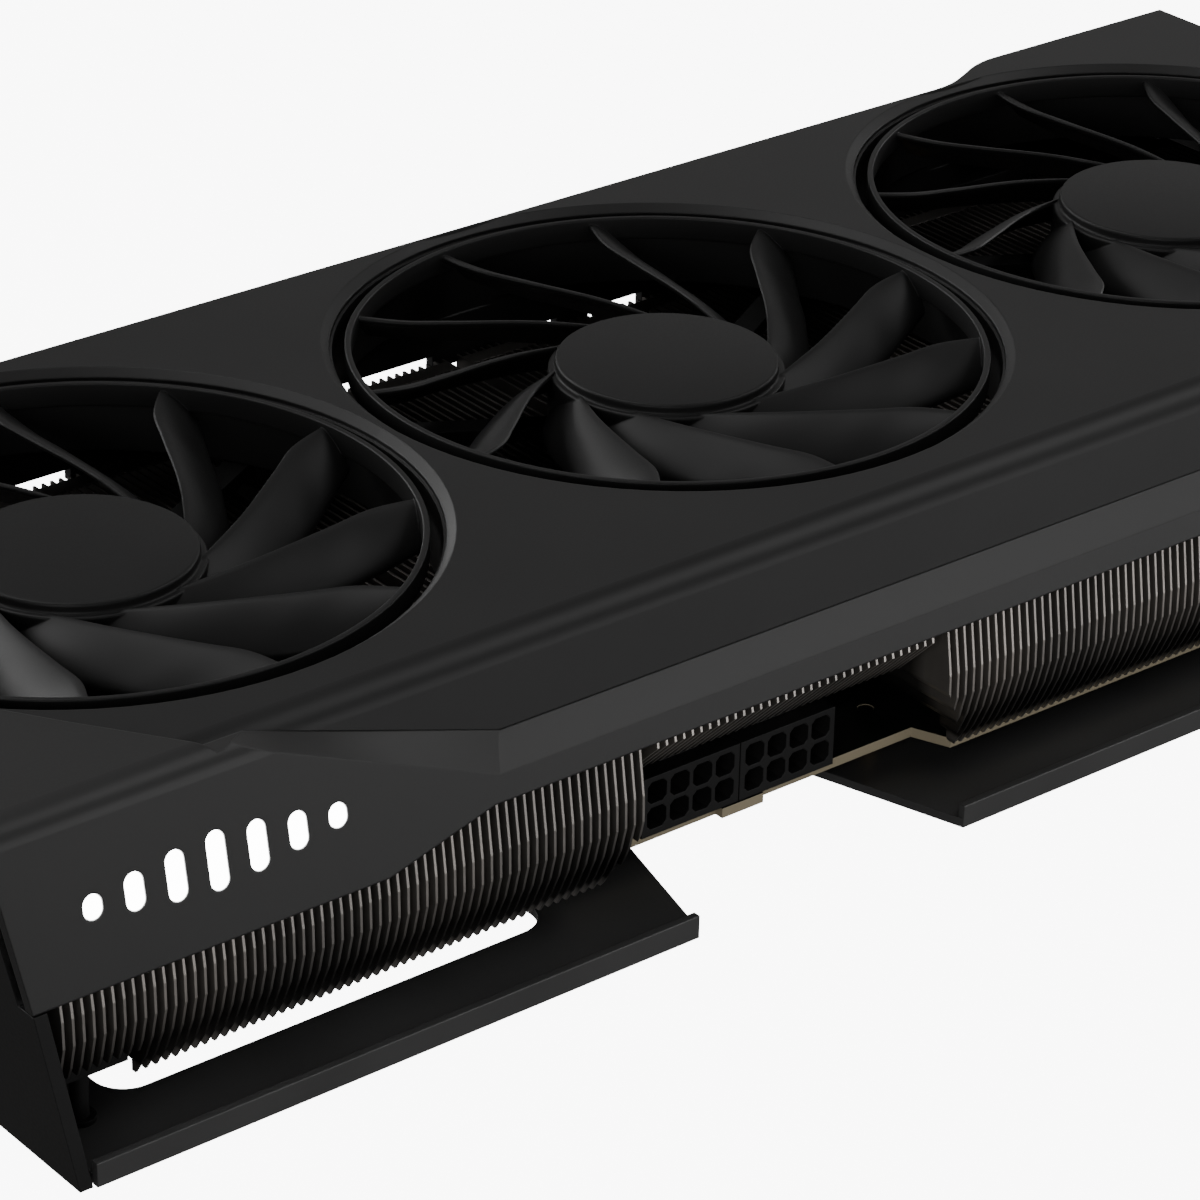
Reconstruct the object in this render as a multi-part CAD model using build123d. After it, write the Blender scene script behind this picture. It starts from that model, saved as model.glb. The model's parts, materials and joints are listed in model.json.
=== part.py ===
from build123d import *
import os
from math import acos, atan, cos, degrees, radians, sin, sqrt

# A three-fan graphics card, lying on its backplate with the fans facing up.
# +X runs towards the bracket with the video ports, -Y towards the edge with the
# power sockets, +Z out of the fans. The origin is on the backplate's underside,
# on the middle fan's axis. All sizes are in millimetres.

# ---- driving dimensions -------------------------------------------------------
FAN_SPACING = 106.5
FAN_PHASES = (9.5, 0.0, 16.3)       # where each rotor stands at rest, in degrees
BLADE_COUNT = 11
SHROUD_TOP = 51.0                   # flat top of the shroud
TRIM_TOP = 52.0                     # the side trim laps over the shroud by 1 mm
TAIL_FOOT_X = -155.3                # outer face of the tail end plate at z = 0
TAIL_LEAN = 0.149                   # how far that face leans out per mm of height
BRACKET_END_X = 163.0               # where the shroud stops at the bracket
FAR_EDGE_Y = 52.5                   # edge-connector side, along the slot
FAR_SHOULDER_Y = 57.8               # same side, beside the bracket
WALL = 1.8                          # shroud wall
SIDE_SLOPE = 0.19                   # both side facets lean out by this per mm down
FACET_TOP_Y = -61.5                 # upper side facet at z = SHROUD_TOP
PANEL_TOP_Y = -65.0                 # side trim's outer plane at z = TRIM_TOP
RIDGE_ROUNDING = 4.2                # radius of the long top corner

FANS_X = [(index - 1) * FAN_SPACING for index in range(3)]
OPENING_R = 51.4
COLLAR_R = 52.8
DUCT_R = 51.0
DUCT_WALL = 1.6
DUCT_FOOT_Z = 38.0

RING_TOP_Z = 50.4
RING_HEIGHT = 3.8
RING_R = 49.1
RING_BAND = 1.0
HUB_R = 18.2
HUB_TOP_R = 17.1
HUB_TOP_Z = 47.6
HUB_STEP_Z = 46.0
HUB_FOOT_Z = 38.0
HUB_BORE_R = 15.0
SHAFT_R = 1.5
RUNNING_GAP = 0.05

BACKPLATE = 1.4                     # thickness
BACKPLATE_EDGE_Y = -73.2
LIP_HEIGHT = 3.6
LIP = 1.2
BOARD_FOOT_Z = 4.7
BOARD_TOP_Z = 6.3
BOARD_TAIL_X = -62.0
BOARD_END_X = 161.0
FIN_PITCH = 1.55
FIN = 0.4                           # sheet thickness
FIN_TOP_Z = 30.2
FIN_CREST_Z = 31.6                  # higher strip along the near edge
FIN_FLOOR_Z = 12.5                  # fins over the board stand on the cold plate
FIN_LOW_Z = 6.9                     # fins past the board hang down to here
FIN_FAR_Y = 50.2
GPU_X, GPU_Y = 45.0, 3.0
PIPE_R = 3.0
PIPE_Z = FIN_FLOOR_Z + PIPE_R
PIPES_Y = [GPU_Y + 12.0 * step for step in (-2, -1, 0, 1, 2)]


# ---- helpers ------------------------------------------------------------------
def prism_x(outline, low, high):
    """Solid with a (y, z) outline, running along X."""
    face = Plane.YZ.offset(low) * make_face(Polyline(*outline, close=True))
    return extrude(face, amount=high - low)


def prism_y(outline, low, high):
    """Solid with an (x, z) outline, running along Y."""
    face = Plane.XZ.offset(-high) * make_face(Polyline(*outline, close=True))
    return extrude(face, amount=high - low)


def prism_z(outline, low, high):
    """Solid with an (x, y) outline, running along Z."""
    face = Plane.XY.offset(low) * make_face(Polyline(*outline, close=True))
    return extrude(face, amount=high - low)


def block(x, y, z):
    """Box between the given (low, high) pairs."""
    centre = ((x[0] + x[1]) / 2, (y[0] + y[1]) / 2, (z[0] + z[1]) / 2)
    return Pos(*centre) * Box(x[1] - x[0], y[1] - y[0], z[1] - z[0])


def rod(radius, x, y, low, high):
    """Upright cylinder."""
    return Pos(x, y, (low + high) / 2) * Cylinder(radius, high - low)


def lathe(outline, x=0.0, y=0.0):
    """Solid of revolution about an upright axis, from an (r, z) outline."""
    face = Plane.XZ * make_face(Polyline(*outline, close=True))
    return Pos(x, y, 0) * revolve(face, Axis.Z)


def group(solids):
    """Separate solids that share one node."""
    return Compound(children=list(solids))


def facet_y(z):
    """Upper side facet of the shroud."""
    return FACET_TOP_Y - SIDE_SLOPE * (SHROUD_TOP - z)


def panel_y(z):
    """Outer plane of the side trim."""
    return PANEL_TOP_Y - SIDE_SLOPE * (TRIM_TOP - z)


def tail_x(z):
    """Outer face of the tail end plate."""
    return TAIL_FOOT_X - TAIL_LEAN * z


# ---- shroud -------------------------------------------------------------------
SHROUD_FOOT_Z = 30.9
SKIRT_FOOT_Z = 28.6                 # the far wall hangs lower here, past the fins' tops
SKIRTS_X = ((-75.5, -55.0), (-6.5, 10.5), (19.0, 25.5), (37.0, 157.0))
FACET_FOOT_Z = 36.7
END_WALL_FOOT_Z = 38.0
TAIL_PLATE = 2.0
SHOULDER_START_X = 103.4
SHOULDER_END_X = 122.0
BOSS_R = 3.2
BOSS_REACH = 56.0
BOSS_ANGLES = (30, 150, 270)
FAN_SCREW_R = 1.0


def fan_bosses():
    """Places where the fan frames screw to the shroud."""
    for fan_x in FANS_X:
        for angle in BOSS_ANGLES:
            turn = radians(angle)
            yield fan_x + BOSS_REACH * cos(turn), BOSS_REACH * sin(turn)


def shoulder(inset, low, high):
    """The wider stretch beside the bracket, with its S-shaped start."""
    far = FAR_SHOULDER_Y - inset
    start = FAR_EDGE_Y - inset
    sweep = Spline((SHOULDER_START_X, start), (SHOULDER_END_X, far), tangents=((1, 0), (1, 0)))
    rest = Polyline(
        (SHOULDER_END_X, far),
        (BRACKET_END_X, far),
        (BRACKET_END_X, start - 8),
        (SHOULDER_START_X, start - 8),
        (SHOULDER_START_X, start),
    )
    return extrude(Plane.XY.offset(low) * make_face(sweep + rest), amount=high - low)


def ridge_prism(inset, low, high, foot):
    """The shroud's section as a solid, its long top corner rounded."""
    top = SHROUD_TOP - inset
    section = Polyline(
        (FAR_EDGE_Y - inset, foot),
        (FAR_EDGE_Y - inset, top),
        (facet_y(top) + inset, top),
        (facet_y(foot) + inset, foot),
        close=True,
    )
    solid = extrude(Plane.YZ.offset(low) * make_face(section), amount=high - low)
    ridge = solid.edges().filter_by(Axis.X).sort_by(Axis.Z)[-2:].sort_by(Axis.Y)[0]
    return fillet(ridge, RIDGE_ROUNDING - inset / 2)


def fan_shroud():
    start = tail_x(SHROUD_TOP)
    shell = ridge_prism(0, start, BRACKET_END_X, SHROUD_FOOT_Z)
    shell += shoulder(0, SKIRT_FOOT_Z, SHROUD_TOP)
    envelope = shell
    shell -= ridge_prism(WALL, start - 5, BRACKET_END_X + 5, SKIRT_FOOT_Z - 5)
    shell -= shoulder(WALL, SKIRT_FOOT_Z - 5, SHROUD_TOP - WALL)
    for span in SKIRTS_X:
        shell += block(span, (FAR_EDGE_Y - WALL, FAR_EDGE_Y), (SKIRT_FOOT_Z, SHROUD_FOOT_Z + 1))
    # a shelf closes the shoulder beside the fins, and an end wall the bracket end
    shelf = shoulder(0, SHROUD_FOOT_Z, SHROUD_FOOT_Z + 1.5)
    shell += shelf & block((100, BRACKET_END_X), (FAR_EDGE_Y - WALL, 60), (25, 40))
    shell += block((BRACKET_END_X - 1.5, BRACKET_END_X), (-59, 56), (END_WALL_FOOT_Z, SHROUD_TOP - 1))
    for fan_x in FANS_X:
        duct_r = DUCT_R + DUCT_WALL
        shell += rod(duct_r, fan_x, 0, DUCT_FOOT_Z, SHROUD_TOP - 1) & envelope
    for x, y in fan_bosses():
        shell += rod(BOSS_R, x, y, DUCT_FOOT_Z, SHROUD_TOP - 1)
    for x, y in fan_bosses():
        shell -= rod(FAN_SCREW_R + 0.1, x, y, DUCT_FOOT_Z - 1, 46)
    opening = [
        (0, DUCT_FOOT_Z - 1),
        (DUCT_R, DUCT_FOOT_Z - 1),
        (DUCT_R, SHROUD_TOP - WALL),
        (OPENING_R, SHROUD_TOP - WALL),
        (OPENING_R, SHROUD_TOP - 1.1),
        (COLLAR_R, SHROUD_TOP),
        (COLLAR_R, SHROUD_TOP + 5),
        (0, SHROUD_TOP + 5),
    ]
    # the collar's bevel runs out before it reaches the far edge
    reach = block((-60, 60), (-60, FAR_EDGE_Y - 0.4), (0, SHROUD_TOP + 5))
    for fan_x in FANS_X:
        shell -= Pos(fan_x, 0, 0) * (lathe(opening) & reach)
    # the side facet stops where the side trim takes over
    shell -= block((start - 5, BRACKET_END_X + 5), (-75, -58), (20, FACET_FOOT_Z))
    # room for the leaning tail end plate
    shell -= prism_y(
        [
            (tail_x(20) + TAIL_PLATE, 20),
            (tail_x(60) + TAIL_PLATE, 60),
            (tail_x(60) - 20, 60),
            (tail_x(60) - 20, 20),
        ],
        -80,
        80,
    )
    return shell


# ---- side trim with the lit badge ---------------------------------------------
TRIM_WALL = 1.7
TRIM_FOOT_Z = 31.0                  # lower edge over most of the length
PANEL_FOOT_Z = 26.6                 # lower edge of the tail panel
BAND_TOP_Z = 34.9                   # foot of the sloping band
BAND_START_Z = 38.8                 # top of the sloping band
CORNER_X = -84.6                    # where the band turns up towards the tail
RIDGE_X = -126.8                    # where its lower edge crosses the ridge
CREST_X = -121.5                    # where its upper edge crosses the ridge
BADGE_X, BADGE_Z = -129.7, 37.6
BADGE_BARS = (3.6, 5.4, 7.2, 8.4, 7.2, 5.4, 3.6)
BADGE_PITCH = 6.3
BADGE_BAR = 3.0
DIFFUSER = 0.7


def badge_plane():
    """Plane of the trim's outer face at the badge, facing outwards."""
    origin = (BADGE_X, panel_y(BADGE_Z), BADGE_Z)
    return Plane(origin=origin, x_dir=(1, 0, 0), z_dir=(0, -1, SIDE_SLOPE))


def badge_bars(clearance, top, foot):
    """The badge's row of upright bars, between two depths below the face."""
    middle = (len(BADGE_BARS) - 1) / 2
    faces = Sketch()
    for index, height in enumerate(BADGE_BARS):
        bar = SlotOverall(height - 2 * clearance, BADGE_BAR - 2 * clearance, rotation=90)
        faces += Pos((index - middle) * BADGE_PITCH, 0) * bar
    return extrude(badge_plane().offset(-foot) * faces, amount=foot - top)


def wing_section(x):
    """What lies above the wing at x: the band's twisted stretch that climbs to the ridge."""
    climbed = (x - CORNER_X) / (RIDGE_X - CORNER_X)
    low_z = BAND_TOP_Z + climbed * (TRIM_TOP - BAND_TOP_Z)
    climbed = (x - CORNER_X - 3.2) / (CREST_X - CORNER_X - 3.2)
    high_z = BAND_START_Z + climbed * (SHROUD_TOP - BAND_START_Z)
    low = Vector(x, panel_y(low_z), low_z)
    high = Vector(x, facet_y(high_z), high_z)
    outer = low - (high - low)
    inner = high + (high - low) * 2
    corners = [outer, inner, Vector(x, inner.Y, 70), Vector(x, outer.Y, 70)]
    return make_face(Polyline(*corners, close=True))


def above_wing():
    return loft([wing_section(CORNER_X + 8), wing_section(RIDGE_X - 8)], ruled=True)


def side_trim():
    tail = tail_x(TRIM_TOP)
    # tail panel with the strip that laps over the shroud's top
    panel = prism_x(
        [
            (panel_y(PANEL_FOOT_Z), PANEL_FOOT_Z),
            (panel_y(TRIM_TOP), TRIM_TOP),
            (-20, TRIM_TOP),
            (-20, SHROUD_TOP),
            (facet_y(SHROUD_TOP), SHROUD_TOP),
            (facet_y(PANEL_FOOT_Z), PANEL_FOOT_Z),
        ],
        tail,
        CORNER_X + 6,
    )
    ridge = panel.edges().filter_by(Axis.X).group_by(Axis.Z)[-1].sort_by(Axis.Y)[0]
    panel = fillet(ridge, RIDGE_ROUNDING - 0.2)
    hollow_top = SHROUD_TOP - 0.9
    hollow = prism_x(
        [
            (panel_y(20) + TRIM_WALL, 20),
            (panel_y(hollow_top) + TRIM_WALL, hollow_top),
            (facet_y(hollow_top), hollow_top),
            (facet_y(20), 20),
        ],
        tail - 5,
        CORNER_X + 8,
    )
    # the shroud's rounded ridge stays underneath
    panel -= ridge_prism(0, tail - 5, CORNER_X + 10, SHROUD_FOOT_Z)
    # the panel's upper edge climbs from the band's corner to the ridge
    above = above_wing()
    panel -= above
    panel -= hollow - Pos(0, 0.5, -TRIM_WALL) * above
    # on the top, its edge runs from the ridge to the tail fan's collar
    top_edge = [
        (RIDGE_X, panel_y(TRIM_TOP) + 0.1),
        (-139.1, -47.3),
        (-147.5, -34.5),
        (-155.0, -22.0),
        (-170.0, -22.0),
        (-170.0, -10.0),
        (-60.0, -10.0),
        (-60.0, facet_y(SHROUD_TOP) - 0.1),
        (CREST_X, facet_y(SHROUD_TOP) - 0.1),
    ]
    panel -= prism_z(top_edge, SHROUD_TOP, TRIM_TOP + 1)
    # sloping band along the rest of the side
    band = prism_x(
        [
            (facet_y(BAND_START_Z), BAND_START_Z),
            (panel_y(BAND_TOP_Z), BAND_TOP_Z),
            (panel_y(TRIM_FOOT_Z), TRIM_FOOT_Z),
            (panel_y(TRIM_FOOT_Z) + TRIM_WALL, TRIM_FOOT_Z),
            (panel_y(BAND_TOP_Z) + TRIM_WALL, BAND_TOP_Z - 0.7),
            (facet_y(FACET_FOOT_Z), FACET_FOOT_Z),
        ],
        CORNER_X - 6,
        BRACKET_END_X,
    )
    trim = panel + band
    # lower edge: low along the tail, then up to the band
    trim -= prism_y(
        [(-104, PANEL_FOOT_Z), (-86, TRIM_FOOT_Z), (-70, TRIM_FOOT_Z), (-70, 20), (-104, 20)],
        -80,
        -60,
    )
    # the tail end follows the leaning end plate
    trim -= prism_y(
        [(tail_x(20), 20), (tail_x(60), 60), (tail_x(60) - 20, 60), (tail_x(60) - 20, 20)],
        -80,
        0,
    )
    return trim - badge_bars(0, -1, TRIM_WALL + 1)


def badge_diffuser():
    """Clear plate behind the trim, with bars that fill the trim's slots."""
    depth = TRIM_WALL + 0.02
    plate_face = badge_plane().offset(-depth - DIFFUSER) * Rectangle(48, 10.5)
    plate = extrude(plate_face, amount=DIFFUSER)
    return plate + badge_bars(0.1, 0.15, depth + 0.1)


def badge_light_board():
    depth = TRIM_WALL + DIFFUSER + 0.05
    return extrude(badge_plane().offset(-depth - 0.8) * Rectangle(48, 10.5), amount=0.8)


def tail_end_plate():
    outline = [
        (FAR_EDGE_Y, 0),
        (FAR_EDGE_Y, SHROUD_TOP),
        (facet_y(SHROUD_TOP) + RIDGE_ROUNDING, SHROUD_TOP),
        (facet_y(SHROUD_TOP - RIDGE_ROUNDING) + 0.3, SHROUD_TOP - RIDGE_ROUNDING),
        (facet_y(30), 30),
        (facet_y(PANEL_FOOT_Z - 0.3), PANEL_FOOT_Z - 0.3),
        (panel_y(PANEL_FOOT_Z), PANEL_FOOT_Z - 0.3),
        (BACKPLATE_EDGE_Y + 0.4, 0),
    ]
    lean = prism_y(
        [
            (tail_x(0), 0),
            (tail_x(SHROUD_TOP), SHROUD_TOP),
            (tail_x(SHROUD_TOP) + TAIL_PLATE, SHROUD_TOP),
            (tail_x(0) + TAIL_PLATE, 0),
        ],
        -80,
        80,
    )
    return prism_x(outline, -175, -145) & lean


# ---- fans ---------------------------------------------------------------------
BLADE = 1.1                         # blade thickness
EDGE_OFFSET = 17.3                  # blades' leading edges are tangent to this radius
SEAT_FOOT_Z = 34.6
SEAT_TOP_Z = 36.4
SEAT_R = 17.0
ARM_FOOT_Z = 35.5
ARM_TOP_Z = 37.8
TUBE_R = 5.2
BEARING_R = 4.2
# One blade in its own axes: its leading edge runs along +Y at x = EDGE_OFFSET.
# Each station is the leading point, the trailing point and their two heights.
BLADE_STATIONS = [
    ((15.2, -1.0), (14.6, -9.5), 45.6, 39.0),
    ((EDGE_OFFSET, 16.0), (22.6, 5.5), 47.6, 40.3),
    ((EDGE_OFFSET, 30.0), (24.8, 22.0), 48.7, 41.9),
    ((EDGE_OFFSET, 37.7), (24.9, 32.0), 49.4, 42.8),
    ((19.4, 44.4), (24.9, 41.6), 49.9, 44.4),
]
TIP_TURN = degrees(acos(EDGE_OFFSET / 41.5)) + 1.0


def blade_section(lead, trail, lead_z, trail_z):
    """Upright cambered section from the leading to the trailing edge."""
    along = Vector(trail[0] - lead[0], trail[1] - lead[1], 0)
    chord = along.length
    direction = along.normalized()
    drop = lead_z - trail_z
    bend = (0.58 * chord, -0.30 * drop)
    upper = []
    lower = []
    for t in (0.0, 1 / 3, 2 / 3, 1.0):
        reach = 2 * t * (1 - t) * bend[0] + t * t * chord
        fall = 2 * t * (1 - t) * bend[1] - t * t * drop
        slope_x = 2 * (1 - t) * bend[0] + 2 * t * (chord - bend[0])
        slope_z = 2 * (1 - t) * bend[1] + 2 * t * (-drop - bend[1])
        size = sqrt(slope_x * slope_x + slope_z * slope_z)
        inwards = (slope_z / size * BLADE, -slope_x / size * BLADE)
        upper.append((reach, fall))
        lower.append((reach + inwards[0], fall + inwards[1]))
    points = []
    for reach, fall in upper + lower[::-1]:
        spot = direction * reach
        points.append((lead[0] + spot.X, lead[1] + spot.Y, lead_z + fall))
    return make_face(Polyline(*points, close=True))


def rotor():
    """Hub, blades and outer ring, moulded in one piece, on the Z axis."""
    hub = Pos(0, 0, (HUB_FOOT_Z + HUB_STEP_Z) / 2) * Cylinder(HUB_R, HUB_STEP_Z - HUB_FOOT_Z)
    cap = Pos(0, 0, (HUB_STEP_Z + HUB_TOP_Z) / 2) * Cylinder(HUB_TOP_R, HUB_TOP_Z - HUB_STEP_Z)
    cap = chamfer(cap.edges().group_by(Axis.Z)[-1], 0.5)
    inner = RING_R - RING_BAND
    foot = RING_TOP_Z - RING_HEIGHT
    ring = lathe([(inner, foot), (RING_R, foot), (RING_R, RING_TOP_Z), (inner, RING_TOP_Z)])
    blade = loft([blade_section(*station) for station in BLADE_STATIONS])
    blades = [Rot(0, 0, 360 / BLADE_COUNT * index - TIP_TURN) * blade for index in range(BLADE_COUNT)]
    solid = hub.fuse(cap, ring, *blades)
    solid -= rod(HUB_BORE_R, 0, 0, HUB_FOOT_Z - 2, HUB_STEP_Z - 0.6)
    solid += rod(3.2, 0, 0, HUB_STEP_Z - 1.6, HUB_STEP_Z - 0.5)
    return solid - rod(SHAFT_R + 0.02, 0, 0, HUB_FOOT_Z, HUB_STEP_Z + 0.1)


def fan_frame(fan_x):
    """Motor seat with the bearing tube and three arms."""
    frame = lathe(
        [
            (0, SEAT_FOOT_Z),
            (SEAT_R, SEAT_FOOT_Z),
            (SEAT_R, SEAT_TOP_Z),
            (TUBE_R, SEAT_TOP_Z),
            (TUBE_R, 43.5),
            (BEARING_R, 43.5),
            (BEARING_R, SEAT_FOOT_Z + 0.5),
            (0, SEAT_FOOT_Z + 0.5),
        ]
    )
    for angle in BOSS_ANGLES:
        arm = block((SEAT_R - 2, BOSS_REACH), (-2, 2), (ARM_FOOT_Z, ARM_TOP_Z))
        arm += rod(3.2, BOSS_REACH, 0, ARM_FOOT_Z, ARM_TOP_Z)
        arm -= rod(FAN_SCREW_R + 0.2, BOSS_REACH, 0, ARM_FOOT_Z - 1, ARM_TOP_Z + 1)
        frame += Rot(0, 0, angle) * arm
    return Pos(fan_x, 0, 0) * frame


def fan_bearing(fan_x):
    inner = SHAFT_R + RUNNING_GAP
    outer = BEARING_R - 0.02
    return lathe([(inner, 35.2), (outer, 35.2), (outer, 43.4), (inner, 43.4)], fan_x)


def fan_stator(fan_x):
    """Wound core: nine poles around the bearing tube."""
    core = lathe([(TUBE_R + 0.02, 38.4), (12.6, 38.4), (12.6, 43.0), (TUBE_R + 0.02, 43.0)])
    for index in range(9):
        slot = block((7.0, 14.0), (-0.7, 0.7), (38.0, 43.5))
        core -= Rot(0, 0, 40 * index) * slot
    return Pos(fan_x, 0, 0) * core


def fan_circuit(fan_x):
    return lathe([(TUBE_R + 0.05, 36.5), (14.2, 36.5), (14.2, 37.3), (TUBE_R + 0.05, 37.3)], fan_x)


def rotor_magnet(fan_x):
    outer = HUB_BORE_R - 0.02
    return lathe([(13.4, 38.2), (outer, 38.2), (outer, 44.6), (13.4, 44.6)], fan_x)


def rotor_shaft(fan_x):
    return rod(SHAFT_R, fan_x, 0, 35.4, 46.0)


def fan_screws():
    screws = []
    for x, y in fan_bosses():
        shank = rod(FAN_SCREW_R, x, y, ARM_FOOT_Z - 0.1, 43.0)
        screws.append(shank + rod(2.2, x, y, ARM_FOOT_Z - 1.5, ARM_FOOT_Z))
    return group(screws)


# ---- cooler -------------------------------------------------------------------
TAIL_FINS = (-154.0, -58.0)
MIDDLE_FINS = (-57.6, -4.0)
BRACKET_FINS = (-3.6, 157.6)
TAIL_STEP_X = -141.5                # fins before this stand on the tail supports
TOOTH_TOP_Z = FIN_LOW_Z + 1.7       # a small tooth hangs at each long fin's near corner
NEAR_EDGE = ((-66.4, FIN_CREST_Z), (-67.8, 22.5), (-67.9, 18.5), (-66.9, 14.5), (-65.2, 10.7), (-62.8, FIN_LOW_Z))


def near_edge(foot):
    """Fin outline along the side that shows, down to the given height."""
    points = [(-52.0, FIN_TOP_Z), (-52.0, FIN_CREST_Z)]
    for (y, z), (next_y, next_z) in zip(NEAR_EDGE, NEAR_EDGE[1:]):
        points.append((y, z))
        if next_z <= foot:
            points.append((y + (next_y - y) * (z - foot) / (z - next_z), foot))
            break
    return points


def fin_face(kind):
    """One fin as a flat outline in the YZ plane."""
    top = [(FIN_FAR_Y, FIN_TOP_Z)]
    if kind == "low":
        tooth = [(-62.0, FIN_LOW_Z), (-62.0, TOOTH_TOP_Z), (FIN_FAR_Y, TOOTH_TOP_Z)]
        outline = top + near_edge(FIN_LOW_Z) + tooth
    elif kind == "raised":
        outline = top + near_edge(FIN_FLOOR_Z) + [(FIN_FAR_Y, FIN_FLOOR_Z)]
    elif kind == "skirted":
        skirt = [(-61.4, FIN_LOW_Z), (-61.4, FIN_FLOOR_Z), (FIN_FAR_Y, FIN_FLOOR_Z)]
        outline = top + near_edge(FIN_LOW_Z) + skirt
    else:
        # over the power sockets: a short edge with a 45 degree corner
        outline = top + near_edge(0)[:3] + [(-67.0, 28.6), (-60.0, 21.4), (-42.0, 21.4)]
        outline += [(-42.0, FIN_FLOOR_Z), (FIN_FAR_Y, FIN_FLOOR_Z)]
    face = make_face(Polyline(*outline, close=True))
    for pipe_y in PIPES_Y:
        face -= Pos(pipe_y, PIPE_Z) * Circle(PIPE_R + 0.02)
    return face


def fin_stack(span, kind_at, foot_at):
    """Fins at a steady pitch, joined by strips of folded tabs."""
    first = round((span[0] - TAIL_FINS[0]) / FIN_PITCH + 0.499)
    last = int((span[1] - TAIL_FINS[0]) / FIN_PITCH)
    faces = {kind: fin_face(kind) for kind in set(kind_at.values())}
    fins = []
    for index in range(first, last + 1):
        x = TAIL_FINS[0] + index * FIN_PITCH
        kind = [kind_at[start] for start in sorted(kind_at) if x >= start][-1]
        fins.append(extrude(Plane.YZ.offset(x) * faces[kind], amount=FIN))
    run = (TAIL_FINS[0] + first * FIN_PITCH, TAIL_FINS[0] + last * FIN_PITCH + FIN)
    strips = [
        block(run, (46.0, 49.0), (FIN_TOP_Z - FIN, FIN_TOP_Z)),
        block(run, (-58.0, -55.0), (FIN_CREST_Z - FIN, FIN_CREST_Z)),
        block(run, (-32.0, -29.0), (foot_at, foot_at + FIN)),
    ]
    return fins[0].fuse(*fins[1:], *strips)


def fin_stack_tail():
    stack = fin_stack(TAIL_FINS, {-200: "raised", TAIL_STEP_X: "low"}, FIN_FLOOR_Z)
    # the last fins shorten towards the power sockets
    return stack - prism_y([(-62.5, 0), (-62.5, FIN_LOW_Z), (-57, 21.4), (-50, 21.4), (-50, 0)], -75, -48)


def fin_stack_middle():
    return fin_stack(MIDDLE_FINS, {-200: "short"}, FIN_FLOOR_Z)


def fin_stack_bracket():
    stack = fin_stack(BRACKET_FINS, {-200: "skirted"}, FIN_FLOOR_Z)
    return stack - prism_y([(4.5, 0), (4.5, FIN_LOW_Z), (-3, 21.4), (-10, 21.4), (-10, 0)], -75, -48)


def cold_plate():
    plate = block((GPU_X - 42, GPU_X + 42), (GPU_Y - 42, GPU_Y + 42), (8.7, FIN_FLOOR_Z))
    plate = chamfer(plate.edges().filter_by(Axis.Z), 3)
    for x, y in retention_points():
        plate -= rod(1.5, x, y, 8, 11)
    return plate


def heat_pipes():
    pipes = []
    for pipe_y in PIPES_Y:
        pipe = Pos(0, pipe_y, PIPE_Z) * Rot(0, 90, 0) * Cylinder(PIPE_R, 300)
        pipes.append(fillet(pipe.edges(), 1.4))
    return group(pipes)


def tail_supports():
    """Feet between the tail fins and the backplate."""
    feet = []
    for y in (-60.5, 45.5):
        foot = block((-152.5, TAIL_STEP_X), (y - 3, y + 3), (9.8, FIN_FLOOR_Z))
        post = rod(1.3, -147.3, y, BACKPLATE, 10) + rod(2.2, -147.3, y, BACKPLATE, BACKPLATE + 0.8)
        feet.append(foot + post)
    return group(feet)


# ---- board --------------------------------------------------------------------
TONGUE_START_X = 31.3
TONGUE_END_X = 116.5
TONGUE_TIP_Y = 62.2
BOARD_FAR_Y = 54.0
KEY_X = 103.9
SOCKET_FACE_Y = -55.8
SOCKETS_X = (-40.4, -22.2)
SOCKET_WIDTH = 18.0
SOCKET_FOOT_Z = BOARD_TOP_Z + 0.1
SOCKET_TOP_Z = 17.0
CELL_PITCH = 4.2
CELL = 3.5
STANDOFFS = [(-56, -30), (-56, 46), (2, -46), (2, 46), (92, -50), (92, 46), (146, -40), (146, 46)]


def retention_points():
    for side_x in (-25, 25):
        for side_y in (-27, 27):
            yield GPU_X + side_x, GPU_Y + side_y


def main_board():
    outline = [
        (BOARD_TAIL_X, BOARD_FAR_Y),
        (24.0, BOARD_FAR_Y),
        (24.0, 59.5),
        (28.5, 59.5),
        (28.5, 57.5),
        (26.5, 57.5),
        (26.5, BOARD_FAR_Y),
        (TONGUE_START_X, BOARD_FAR_Y),
        (TONGUE_START_X, TONGUE_TIP_Y - 1),
        (TONGUE_START_X + 1, TONGUE_TIP_Y),
        (KEY_X - 1.95, TONGUE_TIP_Y),
        (KEY_X - 0.95, TONGUE_TIP_Y - 1),
        (KEY_X - 0.95, 54.8),
        (KEY_X + 0.95, 54.8),
        (KEY_X + 0.95, TONGUE_TIP_Y - 1),
        (KEY_X + 1.95, TONGUE_TIP_Y),
        (TONGUE_END_X - 1, TONGUE_TIP_Y),
        (TONGUE_END_X, TONGUE_TIP_Y - 1),
        (TONGUE_END_X, BOARD_FAR_Y),
        (BOARD_END_X, BOARD_FAR_Y),
        (BOARD_END_X, -48.0),
        (148.0, -48.0),
        (144.0, -60.5),
        (6.0, -60.5),
        (3.5, -54.5),
        (-26.7, -54.5),
        (-26.7, -56.0),
        (-34.5, -56.0),
        (-34.5, -54.5),
        (BOARD_TAIL_X, -54.5),
    ]
    board = prism_z(outline, BOARD_FOOT_Z, BOARD_TOP_Z)
    for x, y in STANDOFFS:
        board -= rod(1.3, x, y, 0, 10)
    for x, y in retention_points():
        board -= rod(1.6, x, y, 0, 10)
    for x, y in bracket_screw_points():
        board -= rod(1.3, x, y, 0, 10)
    return board


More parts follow.
